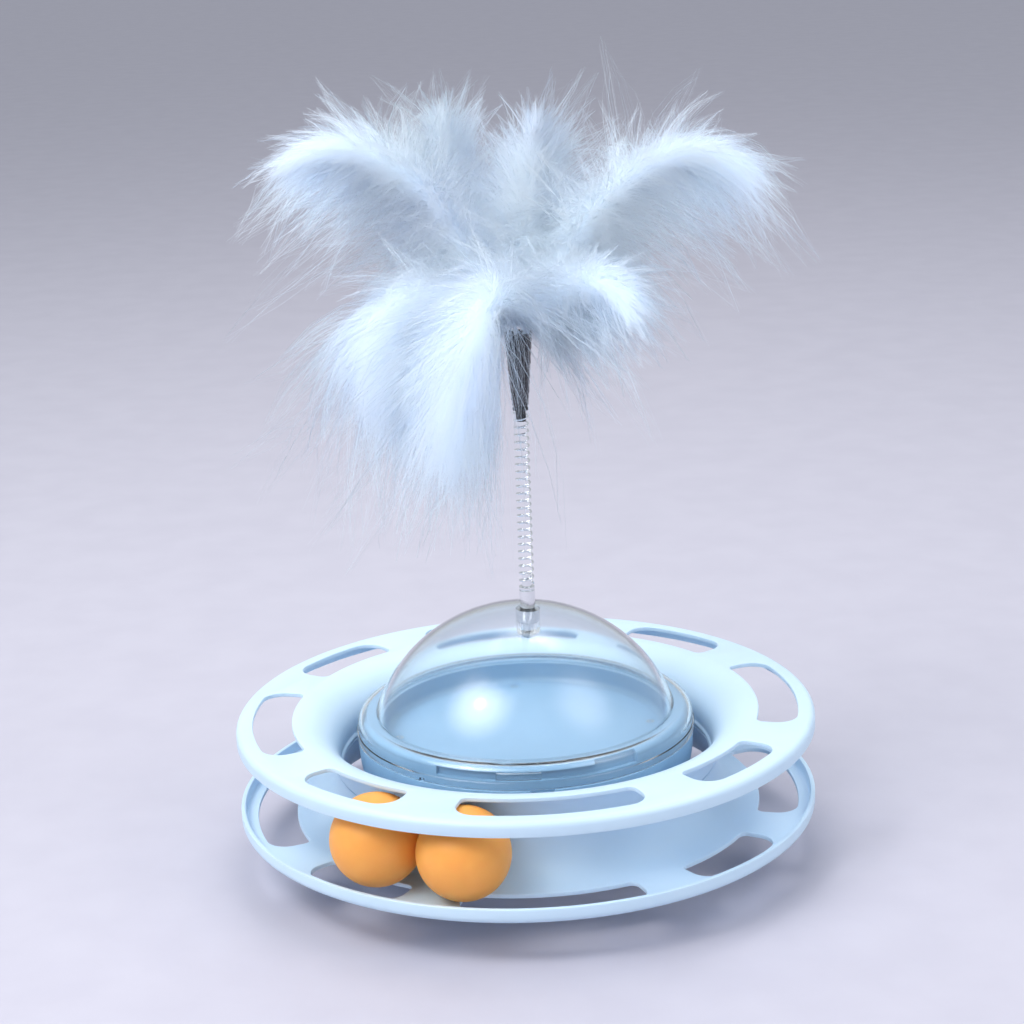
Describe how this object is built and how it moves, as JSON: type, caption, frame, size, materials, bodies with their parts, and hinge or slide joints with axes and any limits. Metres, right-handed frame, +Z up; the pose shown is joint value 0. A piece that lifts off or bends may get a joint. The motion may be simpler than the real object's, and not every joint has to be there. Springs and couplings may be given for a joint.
{
  "type": "cat ball tower",
  "caption": "Round-bottomed cat toy: a rocking bowl inside an open ring track with rolling balls, a clear twist-lock dome over a tray, and a feather wand on a coil spring.",
  "frame": {"origin": "middle of the small flat foot under the bowl, on the surface that it stands on", "axes": "+Z up along the bowl's and ring's common axis, -Y towards the front with the rim notch and the balls, +X to the right"},
  "size_m": [0.26, 0.26, 0.3403],
  "materials": {
    "track_plastic": "satin moulded",
    "bowl_plastic": "satin moulded",
    "tray_plastic": "satin moulded",
    "clear_plastic": "clear gloss",
    "ball_plastic": "frosted",
    "chromed_steel": "polished",
    "screw_steel": "zinc plated",
    "black_tape": "glossy wrapped",
    "plug_plastic": "satin moulded",
    "down": "soft downy",
    "quill_horn": "satin horn"
  },
  "bodies": {
    "base": {"base_bowl": "bowl_plastic", "collar": "bowl_plastic", "tray": "tray_plastic", "counterweight": "screw_steel", "weight_screw_1": "screw_steel", "weight_screw_2": "screw_steel", "weight_screw_3": "screw_steel", "collar_screw_1": "screw_steel", "collar_screw_2": "screw_steel", "collar_screw_3": "screw_steel", "collar_screw_4": "screw_steel", "upper_track": "track_plastic", "lower_track": "track_plastic", "track_screw_1": "screw_steel", "track_screw_2": "screw_steel", "track_screw_3": "screw_steel", "track_screw_4": "screw_steel"},
    "right_ball": {"ball_right": "ball_plastic"},
    "left_ball": {"ball_left": "ball_plastic"},
    "cover": {"dome": "clear_plastic", "wand_stem": "chromed_steel", "stem_washer": "screw_steel", "stem_screw": "screw_steel"},
    "spring": {"coil_spring": "chromed_steel"},
    "feathers": {"spring_plug": "plug_plastic", "quill_binding": "black_tape", "quill_right": "quill_horn", "quill_upper_right": "quill_horn", "quill_upper_left": "quill_horn", "quill_left": "quill_horn", "quill_left_drooping": "quill_horn", "quill_front_drooping": "quill_horn", "quill_right_drooping": "quill_horn", "plume_right": "down", "plume_upper_right": "down", "plume_upper_left": "down", "plume_left": "down", "plume_left_drooping": "down", "plume_front_drooping": "down", "plume_right_drooping": "down"}
  },
  "joints": [
    {"name": "right_ball_roll", "type": "hinge", "parent": "base", "child": "right_ball", "pos_m": [0, 0, 0.0418], "axis": [0, 0, 1], "range_deg": [0, 158]},
    {"name": "left_ball_roll", "type": "hinge", "parent": "base", "child": "left_ball", "pos_m": [0, 0, 0.0418], "axis": [0, 0, 1], "range_deg": [-158, 0]},
    {"name": "dome_twist", "type": "hinge", "parent": "base", "child": "cover", "pos_m": [0, 0, 0.0608], "axis": [0, 0, 1], "range_deg": [-20.5, 34.5]},
    {"name": "wand_sway", "type": "hinge", "parent": "cover", "child": "spring", "pos_m": [0.0028, 0, 0.142], "axis": [0, 1, 0], "range_deg": [-40, 40], "stiffness_Nm_per_rad": 1.5, "deforming": ["coil_spring"]},
    {"name": "wand_nod", "type": "hinge", "parent": "spring", "child": "feathers", "pos_m": [0.0028, 0, 0.182], "axis": [1, 0, 0], "range_deg": [-40, 40], "stiffness_Nm_per_rad": 1.5}
  ]
}
